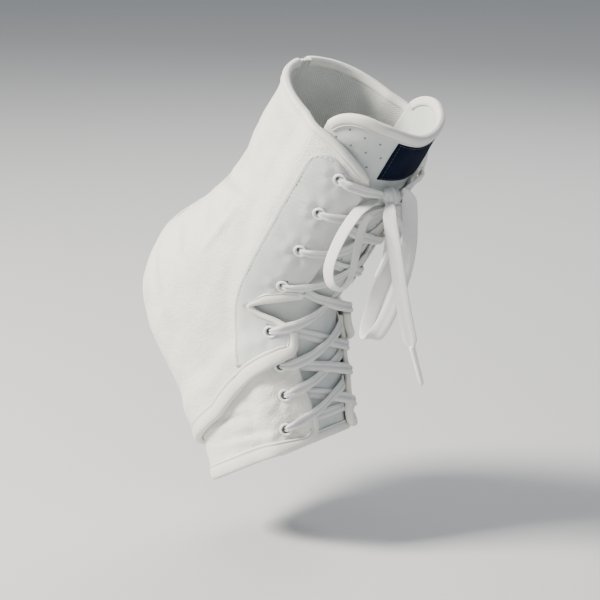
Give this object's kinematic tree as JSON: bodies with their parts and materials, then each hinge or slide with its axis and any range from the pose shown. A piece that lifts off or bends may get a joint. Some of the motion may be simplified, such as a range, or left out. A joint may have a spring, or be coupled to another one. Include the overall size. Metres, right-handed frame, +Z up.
{
  "type": "laced ankle brace",
  "caption": "Cream laced ankle brace in its worn form, with bound edges, a perforated tongue, a bare label patch, white eyelets and a tied flat lace.",
  "frame": {"origin": "centre of the ankle joint, inside the hollow", "axes": "+X towards the toes, +Y towards the inner side of the ankle, +Z up"},
  "size_m": [0.1927, 0.0828, 0.2383],
  "materials": {
    "vinyl": "satin",
    "facing_cloth": "matte",
    "tongue_cloth": "matte",
    "tape": "matte",
    "label": "matte",
    "eyelet": "gloss",
    "lace": "matte",
    "aglet": "gloss"
  },
  "bodies": {
    "root": {"quarter_lateral": "vinyl", "quarter_medial": "vinyl", "facing_lateral": "facing_cloth", "facing_medial": "facing_cloth", "rim_binding_lateral": "tape", "rim_binding_medial": "tape", "notch_binding_lateral": "tape", "notch_binding_medial": "tape", "rear_edge_binding_lateral": "tape", "rear_edge_binding_medial": "tape", "forefoot_wrap": "vinyl", "tongue": "tongue_cloth", "label_patch": "label", "hem_binding": "tape", "tongue_top_binding": "tape", "tongue_end_binding": "tape", "heel_seam_tape": "tape", "eyelet_1_lateral": "eyelet", "eyelet_1_medial": "eyelet", "eyelet_2_lateral": "eyelet", "eyelet_2_medial": "eyelet", "eyelet_3_lateral": "eyelet", "eyelet_3_medial": "eyelet", "eyelet_4_lateral": "eyelet", "eyelet_4_medial": "eyelet", "eyelet_5_lateral": "eyelet", "eyelet_5_medial": "eyelet", "eyelet_6_lateral": "eyelet", "eyelet_6_medial": "eyelet", "eyelet_7_lateral": "eyelet", "eyelet_7_medial": "eyelet", "eyelet_8_lateral": "eyelet", "eyelet_8_medial": "eyelet", "lacing": "lace", "bow_knot": "lace", "lace_loop_near": "lace", "lace_loop_far": "lace", "lace_end_near": "lace", "lace_end_far": "lace", "aglet_near": "aglet", "aglet_far": "aglet"}
  },
  "joints": []
}
